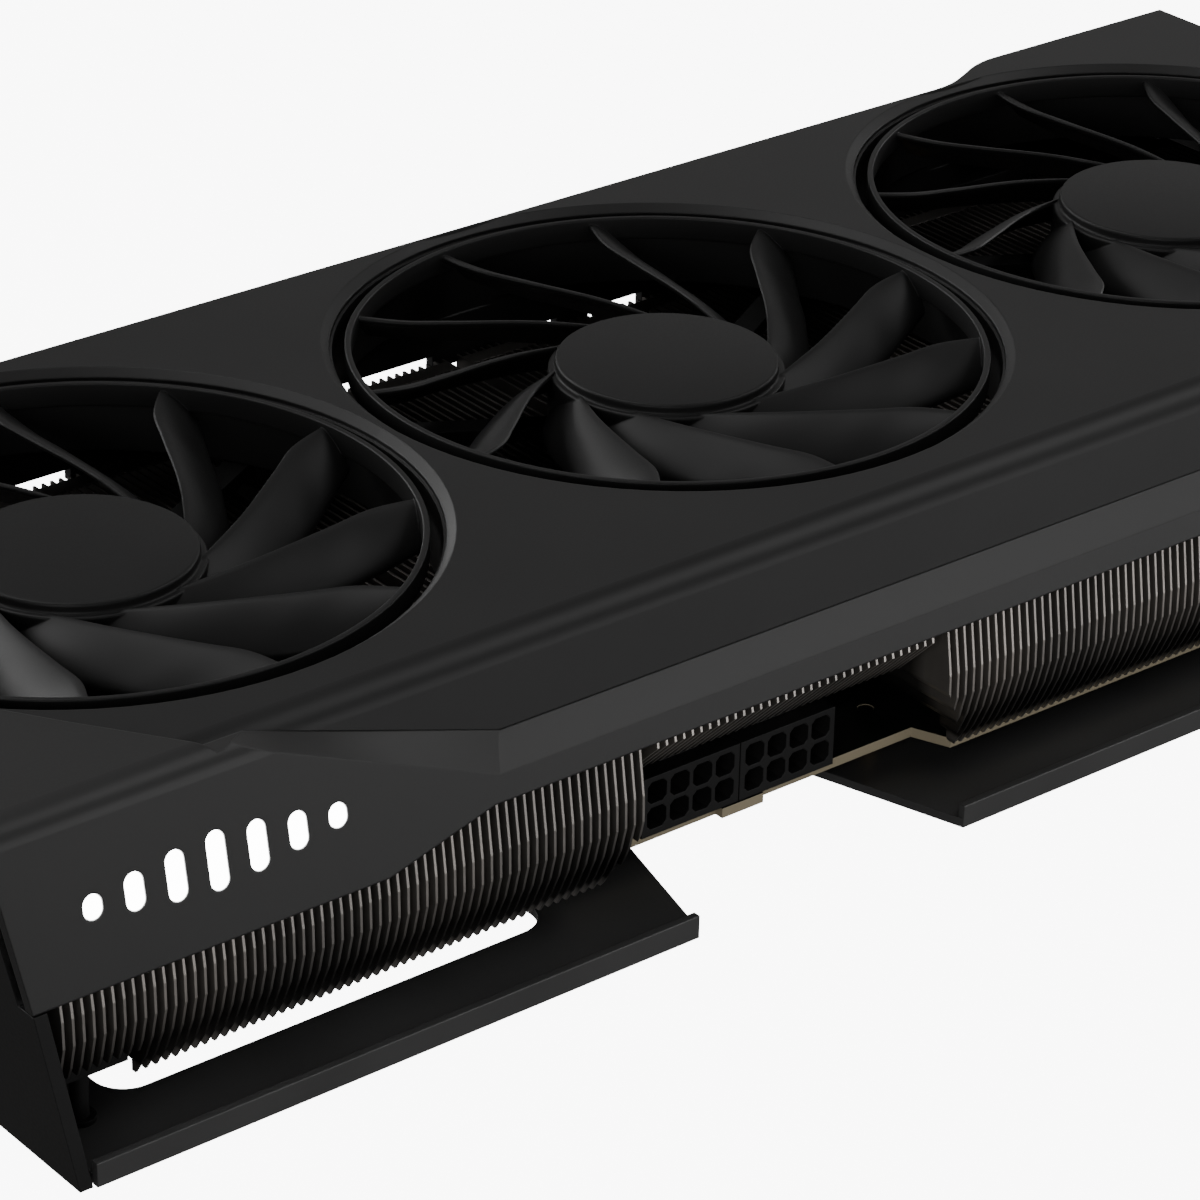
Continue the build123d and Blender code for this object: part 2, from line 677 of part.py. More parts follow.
def edge_contacts():
    """Gold pads, 1 mm apart, on both faces of the board's tongue."""
    pads = []
    first = KEY_X + 2.0
    second = KEY_X - 2.0
    places = [first + step for step in range(11)] + [second - step for step in range(71)]
    for x in places:
        pads.append(block((x - 0.35, x + 0.35), (56.4, 61.4), (BOARD_TOP_Z, BOARD_TOP_Z + 0.05)))
        pads.append(block((x - 0.35, x + 0.35), (56.4, 61.4), (BOARD_FOOT_Z - 0.05, BOARD_FOOT_Z)))
    return group(pads)


def gpu_package():
    plate = block((GPU_X - 22.5, GPU_X + 22.5), (GPU_Y - 22.5, GPU_Y + 22.5), (BOARD_TOP_Z, 7.9))
    return chamfer(plate.edges().filter_by(Axis.Z), 1)


def gpu_die():
    return block((GPU_X - 10, GPU_X + 10), (GPU_Y - 12, GPU_Y + 12), (7.9, 8.7))


def memory_places():
    for side in (-35, 35):
        for row in (-25.5, -8.5, 8.5, 25.5):
            yield GPU_X + side, GPU_Y + row


def on_board(places, width, depth, height, foot=BOARD_TOP_Z):
    """Same-size boxes standing on the board."""
    boxes = []
    for x, y in places:
        boxes.append(block((x - width / 2, x + width / 2), (y - depth / 2, y + depth / 2), (foot, foot + height)))
    return boxes


PHASE_ROWS = [-36 + 8.6 * step for step in range(9)]
RIGHT_ROWS = [-26 + 8.6 * step for step in range(6)]
MOSFET_PLACES = [(-2.0, y) for y in PHASE_ROWS] + [(104.0, y) for y in RIGHT_ROWS]
INDUCTOR_PLACES = [(-12.0, y) for y in PHASE_ROWS] + [(114.0, y) for y in RIGHT_ROWS]
CAPACITOR_PLACES = [(-22.0, y) for y in PHASE_ROWS] + [(123.5, y) for y in RIGHT_ROWS]
MOSFET = 0.9
CHIP = 1.2
VRM_FOOT_Z = 8.2


def memory_chips():
    return group(on_board(memory_places(), 12, 14, CHIP))


def mosfets():
    return group(on_board(MOSFET_PLACES, 5, 6, MOSFET))


def inductors():
    chokes = on_board(INDUCTOR_PLACES, 7, 7, 4.6)
    return group(chamfer(choke.edges().filter_by(Axis.Z), 0.8) for choke in chokes)


def capacitors():
    cans = []
    for x, y in CAPACITOR_PLACES:
        foot = block((x - 3.3, x + 3.3), (y - 3.3, y + 3.3), (BOARD_TOP_Z, BOARD_TOP_Z + 0.8))
        cans.append(foot + rod(3.1, x, y, BOARD_TOP_Z + 0.8, 11.8))
    return group(cans)


def thermal_pads():
    pads = on_board(memory_places(), 12, 14, 8.7 - BOARD_TOP_Z - CHIP, BOARD_TOP_Z + CHIP)
    pads += on_board(MOSFET_PLACES, 5, 6, VRM_FOOT_Z - BOARD_TOP_Z - MOSFET, BOARD_TOP_Z + MOSFET)
    return group(pads)


def vrm_plates():
    """Bars that carry the transistors' heat up to the fins."""
    return group(
        [
            block((-7.5, 2.7), (-41, 37), (VRM_FOOT_Z, FIN_FLOOR_Z)),
            block((99, 109), (-31, 22), (VRM_FOOT_Z, FIN_FLOOR_Z)),
        ]
    )


def socket_cells(socket_x):
    """Centres of a socket's eight contacts, as (x, z)."""
    middle = (SOCKET_FOOT_Z + SOCKET_TOP_Z) / 2 - 0.4
    for column in (-1.5, -0.5, 0.5, 1.5):
        for row in (-0.5, 0.5):
            yield socket_x + column * CELL_PITCH, middle + row * CELL_PITCH


def power_socket(socket_x):
    half = SOCKET_WIDTH / 2
    body = block((socket_x - half, socket_x + half), (SOCKET_FACE_Y, -43), (SOCKET_FOOT_Z, SOCKET_TOP_Z - 1))
    body += block((socket_x - 3.5, socket_x + 3.5), (SOCKET_FACE_Y + 3, -43), (SOCKET_TOP_Z - 1, SOCKET_TOP_Z))
    for x, z in socket_cells(socket_x):
        cell = block((x - CELL / 2, x + CELL / 2), (SOCKET_FACE_Y - 1, -46), (z - CELL / 2, z + CELL / 2))
        body -= chamfer(cell.edges().filter_by(Axis.Y), 0.7)
    return body


def power_pins():
    pins = []
    for socket_x in SOCKETS_X:
        for x, z in socket_cells(socket_x):
            pins.append(block((x - 0.55, x + 0.55), (-51.0, -46), (z - 0.55, z + 0.55)))
    return group(pins)


def fan_headers():
    headers = []
    for x in (128.0, 136.0):
        body = block((x - 3, x + 3), (-57, -52), (BOARD_TOP_Z, BOARD_TOP_Z + 4))
        headers.append(body - block((x - 2.4, x + 2.4), (-58, -53), (BOARD_TOP_Z + 1, BOARD_TOP_Z + 3)))
    return group(headers)


# ---- backplate and its fastenings ---------------------------------------------
WINDOW_X = (-141.0, -68.0)
WINDOW_Y = (-59.0, 44.0)
SCREW_R = 1.15


def window(x, y, corner):
    """Rounded rectangular hole through the backplate."""
    hole = block(x, y, (-1, 3))
    return fillet(hole.edges().filter_by(Axis.Z), corner)


def backplate():
    left = tail_x(0) + TAIL_PLATE + 0.4
    outline = [
        (left, FAR_EDGE_Y - 0.3),
        (161.5, FAR_EDGE_Y - 0.3),
        (161.5, -49.0),
        (157.5, BACKPLATE_EDGE_Y),
        (-2.8, BACKPLATE_EDGE_Y),
        (-11.3, -45.0),
        (-45.3, -45.0),
        (-53.0, BACKPLATE_EDGE_Y),
        (left, BACKPLATE_EDGE_Y),
    ]
    plate = prism_z(outline, 0, BACKPLATE)
    for run in ((left, -53.0), (-2.8, 157.5)):
        plate += block(run, (BACKPLATE_EDGE_Y, BACKPLATE_EDGE_Y + LIP), (0, LIP_HEIGHT))
    plate -= window(WINDOW_X, WINDOW_Y, 5)
    for x, y in STANDOFFS:
        plate -= rod(1.3, x, y, -1, 3) + rod(2.8, x, y, -1, 0.9)
    for x, y in retention_points():
        plate -= rod(5.0, x, y, -1, 3)
    return plate


def standoffs():
    posts = []
    for x, y in STANDOFFS:
        posts.append(rod(2.6, x, y, BACKPLATE, BOARD_FOOT_Z) - rod(1.3, x, y, 0, 10))
    return group(posts)


def backplate_screws():
    screws = []
    for x, y in STANDOFFS:
        head = rod(2.5, x, y, 0.1, 0.9) - Pos(x, y, 0) * Box(3, 0.6, 0.9) - Pos(x, y, 0) * Box(0.6, 3, 0.9)
        screws.append(head + rod(SCREW_R, x, y, 0.8, 6.2))
    return group(screws)


def retention_bracket():
    """Cross-shaped spring plate that pulls the cold plate onto the chip."""
    plate = Part()
    for sign in (-1, 1):
        turn = degrees(atan(27 / 25)) * sign
        plate += Pos(GPU_X, GPU_Y, 3.1) * Rot(0, 0, turn) * Box(86, 10, 1)
    plate += block((GPU_X - 13, GPU_X + 13), (GPU_Y - 13, GPU_Y + 13), (2.6, 3.6))
    for x, y in retention_points():
        plate -= rod(1.6, x, y, 0, 10)
    return plate


def retention_screws():
    screws = []
    for x, y in retention_points():
        head = rod(3.2, x, y, 0.7, 2.6) - Pos(x, y, 0.7) * Box(4, 0.8, 1.6) - Pos(x, y, 0.7) * Box(0.8, 4, 1.6)
        screws.append(head + rod(1.4, x, y, 2.5, 10.5))
    return group(screws)


# ---- bracket end --------------------------------------------------------------
BRACKET_X = (163.3, 164.3)
BRACKET_Z = (2.5, 41.2)
FLANGE_Y = (-50.5, -49.5)
PORTS_Y = (-31.0, -8.5, 14.0, 36.5)
PORT_WIDTHS = (16.4, 16.4, 16.4, 14.6)
PORT_Z = (BOARD_TOP_Z + 0.1, 12.0)


def bracket_screw_points():
    yield 156.0, -43.8
    yield 156.0, 49.0


def io_bracket():
    plate = block(BRACKET_X, (FLANGE_Y[0], 62.0), BRACKET_Z)
    flange = block((BRACKET_X[0], 175.0), FLANGE_Y, BRACKET_Z)
    for z in (12.0, 32.3):
        plate += block(BRACKET_X, (61.0, 69.5), (z - 5.1, z + 5.1))
        flange -= block((168.0, 180.0), (-52, -48), (z - 2.2, z + 2.2))
    plate += flange
    for x, y in bracket_screw_points():
        ear = block((x - 3.5, BRACKET_X[1]), (y - 3.2, y + 3.2), (BOARD_TOP_Z, BOARD_TOP_Z + 0.9))
        plate += ear - rod(1.3, x, y, 0, 20)
    for y, width in zip(PORTS_Y, PORT_WIDTHS):
        half = width / 2 + 0.2
        plate -= block((160, 170), (y - half, y + half), (PORT_Z[0] - 0.2, PORT_Z[1] + 0.2))
    # exhaust slots beside the ports
    for index in range(20):
        y = -42.0 + 5.0 * index
        plate -= block((160, 170), (y - 1.6, y + 1.6), (16.0, 27.0))
    return plate


def video_port(index):
    """Metal shell around an insulated tongue."""
    y = PORTS_Y[index]
    half = PORT_WIDTHS[index] / 2
    shell = block((149.0, 164.9), (y - half, y + half), PORT_Z)
    shell -= block((152.0, 166.0), (y - half + 0.5, y + half - 0.5), (PORT_Z[0] + 0.5, PORT_Z[1] - 0.5))
    middle = (PORT_Z[0] + PORT_Z[1]) / 2
    return shell + block((151.0, 163.6), (y - half + 2, y + half - 2), (middle - 0.6, middle + 0.6))


def bracket_screws():
    screws = []
    for x, y in bracket_screw_points():
        head = rod(2.3, x, y, BOARD_TOP_Z + 0.9, BOARD_TOP_Z + 2.3)
        screws.append(head + rod(SCREW_R, x, y, BOARD_FOOT_Z, BOARD_TOP_Z + 1.0))
    return group(screws)


# ---- all nodes ----------------------------------------------------------------
def all_nodes():
    nodes = {
        "fan_shroud": fan_shroud(),
        "side_trim": side_trim(),
        "badge_diffuser": badge_diffuser(),
        "badge_light_board": badge_light_board(),
        "tail_end_plate": tail_end_plate(),
        "fan_screws": fan_screws(),
        "fin_stack_tail": fin_stack_tail(),
        "fin_stack_middle": fin_stack_middle(),
        "fin_stack_bracket": fin_stack_bracket(),
        "cold_plate": cold_plate(),
        "heat_pipes": heat_pipes(),
        "tail_supports": tail_supports(),
        "main_board": main_board(),
        "edge_contacts": edge_contacts(),
        "gpu_package": gpu_package(),
        "gpu_die": gpu_die(),
        "memory_chips": memory_chips(),
        "mosfets": mosfets(),
        "inductors": inductors(),
        "capacitors": capacitors(),
        "thermal_pads": thermal_pads(),
        "vrm_plates": vrm_plates(),
        "power_pins": power_pins(),
        "fan_headers": fan_headers(),
        "backplate": backplate(),
        "standoffs": standoffs(),
        "backplate_screws": backplate_screws(),
        "retention_bracket": retention_bracket(),
        "retention_screws": retention_screws(),
        "io_bracket": io_bracket(),
        "bracket_screws": bracket_screws(),
    }
    for index in range(2):
        nodes[f"power_socket_{index + 1}"] = power_socket(SOCKETS_X[index])
    for index in range(4):
        nodes[f"video_port_{index + 1}"] = video_port(index)
    shared_rotor = rotor()
    for index, fan_x in enumerate(FANS_X):
        number = index + 1
        nodes[f"fan_rotor_{number}"] = Pos(fan_x, 0, 0) * Rot(0, 0, FAN_PHASES[index]) * shared_rotor
        nodes[f"rotor_magnet_{number}"] = rotor_magnet(fan_x)
        nodes[f"rotor_shaft_{number}"] = rotor_shaft(fan_x)
        nodes[f"fan_frame_{number}"] = fan_frame(fan_x)
        nodes[f"fan_bearing_{number}"] = fan_bearing(fan_x)
        nodes[f"fan_stator_{number}"] = fan_stator(fan_x)
        nodes[f"fan_circuit_{number}"] = fan_circuit(fan_x)
    return nodes


os.makedirs("parts", exist_ok=True)
for name, shape in all_nodes().items():
    export_step(shape, f"parts/{name}.step")
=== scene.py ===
import bpy
import bmesh
import json
from math import acos, cos, pi, radians, sin
from mathutils import Matrix, Vector


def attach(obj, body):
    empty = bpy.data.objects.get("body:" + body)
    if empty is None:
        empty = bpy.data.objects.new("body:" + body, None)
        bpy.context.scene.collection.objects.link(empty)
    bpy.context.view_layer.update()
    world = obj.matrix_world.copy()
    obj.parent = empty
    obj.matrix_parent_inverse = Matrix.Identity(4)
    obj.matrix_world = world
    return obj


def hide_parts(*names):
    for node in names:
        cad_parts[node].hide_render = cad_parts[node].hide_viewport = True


# A three-fan graphics card on its backplate. +X runs to the bracket end, -Y to
# the power sockets, +Z out of the fans. Lengths are in millimetres until MM.

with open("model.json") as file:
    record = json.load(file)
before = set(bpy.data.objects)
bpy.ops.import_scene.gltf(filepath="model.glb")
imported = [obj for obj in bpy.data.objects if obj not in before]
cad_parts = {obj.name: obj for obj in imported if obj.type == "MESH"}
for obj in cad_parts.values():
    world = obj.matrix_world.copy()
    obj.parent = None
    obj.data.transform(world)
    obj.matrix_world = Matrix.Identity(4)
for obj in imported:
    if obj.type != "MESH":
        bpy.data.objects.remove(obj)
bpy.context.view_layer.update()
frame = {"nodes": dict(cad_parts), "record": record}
nodes = frame["nodes"]
MM = 0.001

# ---- camera -------------------------------------------------------------------
# The camera looks down on the tail corner from the power-socket side.
# It stands at CAMERA_PLACE, in metres.
CAMERA_PLACE = (-0.40962, -0.48489, 0.33821)
CAMERA_RIGHT = Vector((0.7795, -0.6262, 0.0187))
CAMERA_AHEAD = Vector((0.5615, 0.6851, -0.4641))
SENSOR_WIDTH = 36
FOCAL_LENGTH = 137.22

camera_data = bpy.data.cameras.new("camera")
camera_data.sensor_width = SENSOR_WIDTH
camera_data.lens = FOCAL_LENGTH
camera_data.clip_end = 20
camera = bpy.data.objects.new("camera", camera_data)
bpy.context.scene.collection.objects.link(camera)
ahead = CAMERA_AHEAD.normalized()
right = (CAMERA_RIGHT - ahead * CAMERA_RIGHT.dot(ahead)).normalized()
up = right.cross(ahead)
turned = Matrix((right, up, -ahead)).transposed().to_4x4()
camera.matrix_world = Matrix.Translation(CAMERA_PLACE) @ turned
bpy.context.scene.camera = camera


# ---- materials ----------------------------------------------------------------
ROUGHNESS_SPREAD = 0.06


def surface(name, low, high, roughness, metallic=0.0, specular=0.5, grain=0.0, grain_size=0.3,
            patch_size=25.0, stretch=(1, 1, 1), edge=0.2):
    """A procedural finish: colour drifts from low to high in soft patches, over a fine grain.

    grain is the height of the fine grain in mm, grain_size its width in mm, stretch
    pulls the grain out along an axis, as brushing does, and edge is how far in mm
    the light rolls over sharp edges."""
    made = bpy.data.materials.new(name)
    made.use_nodes = True
    tree = made.node_tree
    shader = tree.nodes["Principled BSDF"]
    shader.inputs["Metallic"].default_value = metallic
    shader.inputs["Specular IOR Level"].default_value = specular

    place = tree.nodes.new("ShaderNodeTexCoord")
    pull = tree.nodes.new("ShaderNodeMapping")
    pull.inputs["Scale"].default_value = stretch
    tree.links.new(place.outputs["Object"], pull.inputs["Vector"])

    patches = tree.nodes.new("ShaderNodeTexNoise")
    patches.inputs["Scale"].default_value = 1 / (patch_size * MM)
    patches.inputs["Detail"].default_value = 4
    tree.links.new(pull.outputs["Vector"], patches.inputs["Vector"])
    colours = tree.nodes.new("ShaderNodeValToRGB")
    colours.color_ramp.elements[0].position = 0.3
    colours.color_ramp.elements[0].color = (*low, 1)
    colours.color_ramp.elements[1].position = 0.7
    colours.color_ramp.elements[1].color = (*high, 1)
    tree.links.new(patches.outputs["Fac"], colours.inputs["Fac"])
    tree.links.new(colours.outputs["Color"], shader.inputs["Base Color"])

    fine = tree.nodes.new("ShaderNodeTexNoise")
    fine.inputs["Scale"].default_value = 1 / (grain_size * MM)
    fine.inputs["Detail"].default_value = 2
    tree.links.new(pull.outputs["Vector"], fine.inputs["Vector"])
    gloss = tree.nodes.new("ShaderNodeMapRange")
    gloss.inputs["To Min"].default_value = roughness - ROUGHNESS_SPREAD
    gloss.inputs["To Max"].default_value = roughness + ROUGHNESS_SPREAD
    tree.links.new(fine.outputs["Fac"], gloss.inputs["Value"])
    tree.links.new(gloss.outputs["Result"], shader.inputs["Roughness"])
    rounding = tree.nodes.new("ShaderNodeBevel")
    rounding.samples = 6
    rounding.inputs["Radius"].default_value = edge * MM
    bump = tree.nodes.new("ShaderNodeBump")
    bump.inputs["Distance"].default_value = grain * MM
    bump.inputs["Strength"].default_value = 0.6
    tree.links.new(rounding.outputs["Normal"], bump.inputs["Normal"])
    tree.links.new(fine.outputs["Fac"], bump.inputs["Height"])
    tree.links.new(bump.outputs["Normal"], shader.inputs["Normal"])
    return made


def node_of(tree, kind):
    """The first node of a kind in a material that surface() made."""
    return next(node for node in tree.nodes if node.type == kind)


# painted shade: height in mm on a fin and how bright it is painted there, dark near the board with the low tabs
# left bright
FIN_SHADE = ((6.9, 0.90), (8.4, 0.60), (9.0, 0.10), (12.5, 0.14), (17.0, 0.75), (20.5, 1.0))
FIN_SHADE_TOP = 30.0
# painted shade between the fins: from the near edge to where the inside begins, in mm, and how bright the inside
# is painted
FIN_EDGE_Y = (-62.5, -59.5)
FIN_INSIDE_PAINTED_SHADE = 0.30


def shaded_fins(name, low, high):
    """Fin metal with painted shade: bright along the edges that face out, painted darker inside the gaps and near
    the board.

    Only the tabs along the low edge stay bright, below a painted dark band."""
    made = surface(name, low, high, 0.36, metallic=0.9, grain=0.006, grain_size=0.5, patch_size=18,
                   stretch=(1, 1, 0.25), edge=0.12)
    tree = made.node_tree
    ramp, place = node_of(tree, "VALTORGB"), node_of(tree, "TEX_COORD")
    parts = tree.nodes.new("ShaderNodeSeparateXYZ")
    tree.links.new(place.outputs["Object"], parts.inputs["Vector"])
    height = tree.nodes.new("ShaderNodeMapRange")
    height.inputs["From Max"].default_value = FIN_SHADE_TOP * MM
    tree.links.new(parts.outputs["Z"], height.inputs["Value"])
    # painted shade: the fins darker near the board, the tabs at the low edge left bright
    painted_shade_by_height = tree.nodes.new("ShaderNodeValToRGB")
    stops = painted_shade_by_height.color_ramp.elements
    stops[0].position, stops[0].color = FIN_SHADE[0][0] / FIN_SHADE_TOP, (*grey(FIN_SHADE[0][1]), 1)
    stops[1].position, stops[1].color = FIN_SHADE[-1][0] / FIN_SHADE_TOP, (*grey(FIN_SHADE[-1][1]), 1)
    for z, value in FIN_SHADE[1:-1]:
        stops.new(z / FIN_SHADE_TOP).color = (*grey(value), 1)
    tree.links.new(height.outputs["Result"], painted_shade_by_height.inputs["Fac"])
    # painted shade: darker inside the gaps between the fins, away from the near edge
    painted_shade_inside = tree.nodes.new("ShaderNodeMapRange")
    painted_shade_inside.inputs["From Min"].default_value = FIN_EDGE_Y[0] * MM
    painted_shade_inside.inputs["From Max"].default_value = FIN_EDGE_Y[1] * MM
    painted_shade_inside.inputs["To Min"].default_value = 1.0
    painted_shade_inside.inputs["To Max"].default_value = FIN_INSIDE_PAINTED_SHADE
    tree.links.new(parts.outputs["Y"], painted_shade_inside.inputs["Value"])
    shade = tree.nodes.new("ShaderNodeVectorMath")
    shade.operation = "MULTIPLY"
    tree.links.new(ramp.outputs["Color"], shade.inputs[0])
    tree.links.new(painted_shade_by_height.outputs["Color"], shade.inputs[1])
    # painted shade: the fin colour scaled darker inside the gaps
    shaded_colour = tree.nodes.new("ShaderNodeVectorMath")
    shaded_colour.operation = "SCALE"
    tree.links.new(shade.outputs["Vector"], shaded_colour.inputs[0])
    tree.links.new(painted_shade_inside.outputs["Result"], shaded_colour.inputs["Scale"])
    tree.links.new(shaded_colour.outputs["Vector"], tree.nodes["Principled BSDF"].inputs["Base Color"])
    return made


def lit(name, colour, strength):
    """A clear plate with light behind it, a little brighter in soft patches."""
    made = surface(name, colour, colour, 0.35)
    shader = made.node_tree.nodes["Principled BSDF"]
    ramp = node_of(made.node_tree, "VALTORGB")
    ramp.color_ramp.elements[0].color = (*[0.93 * c for c in colour], 1)
    made.node_tree.links.new(ramp.outputs["Color"], shader.inputs["Emission Color"])
    shader.inputs["Emission Strength"].default_value = strength
    return made


def laminate(name, low, high, edge):
    """Circuit board: solder mask on its two faces, bare laminate on its cut edges."""
    made = surface(name, low, high, 0.32, specular=0.2, grain=0.02, grain_size=0.9, patch_size=6)
    tree = made.node_tree
    ramp, place = node_of(tree, "VALTORGB"), node_of(tree, "TEX_COORD")
    parts = tree.nodes.new("ShaderNodeSeparateXYZ")
    tree.links.new(place.outputs["Normal"], parts.inputs["Vector"])
    upright = tree.nodes.new("ShaderNodeMath")
    upright.operation = "ABSOLUTE"
    tree.links.new(parts.outputs["Z"], upright.inputs[0])
    on_edge = tree.nodes.new("ShaderNodeMath")
    on_edge.operation = "LESS_THAN"
    on_edge.inputs[1].default_value = 0.5
    tree.links.new(upright.outputs["Value"], on_edge.inputs[0])
    mix = tree.nodes.new("ShaderNodeMix")
    mix.data_type = "RGBA"
    # by index, because the colour sockets share their names with the number sockets
    factor, face_colour, edge_colour = mix.inputs[0], mix.inputs[6], mix.inputs[7]
    mixed = mix.outputs[2]
    edge_colour.default_value = (*edge, 1)
    tree.links.new(on_edge.outputs["Value"], factor)
    tree.links.new(ramp.outputs["Color"], face_colour)
    tree.links.new(mixed, tree.nodes["Principled BSDF"].inputs["Base Color"])
    return made


def grey(value, warmth=0.0):
    return (value * (1 + warmth), value, value * (1 - warmth))


finishes = {
    "shroud": surface("shroud_plastic", grey(0.0040), grey(0.0055), 0.47, specular=0.22, grain=0.010, edge=0.35),
    "trim": surface("trim_plastic", grey(0.0045), grey(0.0060, 0.02), 0.45, specular=0.34, grain=0.010, edge=0.35),
    "rotor": surface("rotor_plastic", grey(0.0045), grey(0.0062), 0.46, specular=0.16, grain=0.006),
    "frame_plastic": surface("frame_plastic", grey(0.004), grey(0.006), 0.55, specular=0.12, grain=0.02),
    "diffuser": lit("lit_diffuser", (1.0, 1.0, 1.0), 14.0),
    "light_board": surface("light_board", grey(0.6), grey(0.7), 0.5),
    "end_plate": surface("end_plate_paint", grey(0.0040), grey(0.0055), 0.44, specular=0.2, grain=0.010,
                         grain_size=0.5),
    "backplate": surface("backplate_paint", grey(0.0220), grey(0.0300), 0.42, specular=0.5, grain=0.010,
                         grain_size=0.45, edge=0.3),
    "fins": shaded_fins("fin_metal_painted_shade", grey(0.24, 0.05), grey(0.38, 0.08)),
    "nickel_copper": surface("nickel_plate", grey(0.20, 0.06), grey(0.28, 0.08), 0.22, metallic=1.0, grain=0.004),
    "vrm_plate": surface("cast_plate", grey(0.15), grey(0.20), 0.42, metallic=1.0, grain=0.02),
    "board": laminate("board_mask", (0.004, 0.005, 0.0045), (0.007, 0.008, 0.007), (0.22, 0.19, 0.13)),
    "gold": surface("gold_plate", (0.36, 0.235, 0.08), (0.42, 0.29, 0.11), 0.2, metallic=1.0),
    "package": surface("chip_package", (0.01, 0.03, 0.018), (0.015, 0.042, 0.025), 0.4),
    "die": surface("silicon", grey(0.10), grey(0.14), 0.12, metallic=0.6),
    "chip": surface("chip_mould", grey(0.009), grey(0.013), 0.5, grain=0.01),
    "ferrite": surface("ferrite", grey(0.025), grey(0.038), 0.5, grain=0.02),
    "capacitor": surface("can_metal", grey(0.25), grey(0.3), 0.28, metallic=1.0),
    "pad": surface("silicone_pad", (0.14, 0.165, 0.20), (0.17, 0.195, 0.23), 0.8, grain=0.03),
    "socket": surface("socket_nylon", grey(0.0075), grey(0.0105), 0.45, specular=0.18, grain=0.012),
    "header": surface("header_nylon", (0.29, 0.265, 0.215), (0.33, 0.305, 0.25), 0.45, grain=0.01),
    "winding": surface("copper_wire", (0.21, 0.075, 0.03), (0.27, 0.11, 0.045), 0.3, metallic=0.9, grain=0.05,
                       grain_size=0.25),
    "fan_board": surface("fan_board", (0.01, 0.035, 0.02), (0.015, 0.05, 0.025), 0.35),
    "bronze": surface("bronze", (0.17, 0.11, 0.05), (0.21, 0.14, 0.065), 0.4, metallic=0.9, grain=0.02),
    "steel": surface("steel", grey(0.22), grey(0.28), 0.3, metallic=1.0, stretch=(0.1, 1, 1), grain=0.006),
    "black_screw": surface("black_screw", grey(0.010), grey(0.016), 0.35, metallic=0.7),
    "brass_post": surface("brass_post", (0.27, 0.19, 0.075), (0.32, 0.23, 0.1), 0.3, metallic=1.0),
    "bracket": surface("bracket_plating", grey(0.022), grey(0.034), 0.34, metallic=0.85, grain=0.008,
                       stretch=(1, 1, 0.06), patch_size=12),
    "port_shell": surface("port_metal", grey(0.21), grey(0.26), 0.28, metallic=1.0, grain=0.004),
}
slot_of = {part["node"]: part["material_slot"] for part in frame["record"]["subparts"]}


def finish_with(piece, slot):
    piece.data.materials.clear()
    piece.data.materials.append(finishes[slot])


for name, node in nodes.items():
    finish_with(node, slot_of[name])
    node.data.set_sharp_from_angle(angle=radians(30))


# ---- making pieces ------------------------------------------------------------
SMOOTH_BELOW = 40                   # degrees


def piece_from(mesh, name, body, slot, stands_for):
    """Turn a mesh into a finished piece that rides on a body in place of CAD nodes."""
    piece = bpy.data.objects.new(name, mesh)
    bpy.context.scene.collection.objects.link(piece)
    mesh.shade_smooth()
    mesh.set_sharp_from_angle(angle=radians(SMOOTH_BELOW))
    finish_with(piece, slot)
    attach(piece, body)
    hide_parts(*stands_for)
    return piece


def arc_corners(outline, radius, steps=4, closed=True):
    """An outline with each corner replaced by a short curve. An open one keeps its ends."""
    points = []
    count = len(outline)
    for index in range(count):
        corner = Vector(outline[index])
        if not closed and index in (0, count - 1):
            points.append(corner)
            continue
        before = Vector(outline[index - 1]) - corner
        after = Vector(outline[(index + 1) % count]) - corner
        reach = min(radius, 0.45 * before.length, 0.45 * after.length)
        start = corner + before.normalized() * reach
        end = corner + after.normalized() * reach
        for step in range(steps + 1):
            t = step / steps
            points.append(start * (1 - t) ** 2 + corner * 2 * t * (1 - t) + end * t * t)
    return points


def add_lathe(shape, outline, turns=144, closed=True):
    """Add an (r, z) outline turned about the Z axis. An open one starts and ends on the axis."""
    rings = []
    for step in range(turns):
        angle = 2 * pi * step / turns
        rings.append([shape.verts.new((r * cos(angle) * MM, r * sin(angle) * MM, z * MM)) for r, z in outline])
    for step in range(turns):
        here, there = rings[step], rings[(step + 1) % turns]
        for index in range(len(outline) if closed else len(outline) - 1):
            follow = (index + 1) % len(outline)
            shape.faces.new((here[index], there[index], there[follow], here[follow]))
    bmesh.ops.remove_doubles(shape, verts=shape.verts, dist=0.001 * MM)


# ---- fans ---------------------------------------------------------------------
FAN_SPACING = 106.5
FAN_PHASES = (9.5, 0.0, 16.3)
BLADE_COUNT = 11
BLADE = 1.1                         # thickness
EDGE_OFFSET = 17.3
BLADE_EDGE = 12                     # higher is blunter at the leading and trailing edges
# (r, z) outlines
HUB = [(0, 47.6), (17.1, 47.6), (17.1, 46.0), (18.2, 46.0), (18.2, 38.0), (15.0, 38.0), (15.0, 45.4), (0, 45.4)]
RING = [(48.1, 46.6), (49.1, 46.6), (49.1, 50.4), (48.1, 50.4)]
# Leading point, trailing point and their heights, from the hub to the ring.
BLADE_STATIONS = [
    ((15.2, -1.0), (14.6, -9.5), 45.6, 39.0),
    ((EDGE_OFFSET, 16.0), (22.6, 5.5), 47.6, 40.3),
    ((EDGE_OFFSET, 30.0), (24.8, 22.0), 48.7, 41.9),
    ((EDGE_OFFSET, 37.7), (24.9, 32.0), 49.4, 42.8),
    ((19.4, 44.4), (24.9, 41.6), 49.9, 44.4),
]
SPAN_STEPS = 28
CHORD_STEPS = 12
tip_turn = acos(EDGE_OFFSET / 41.5) + radians(1)


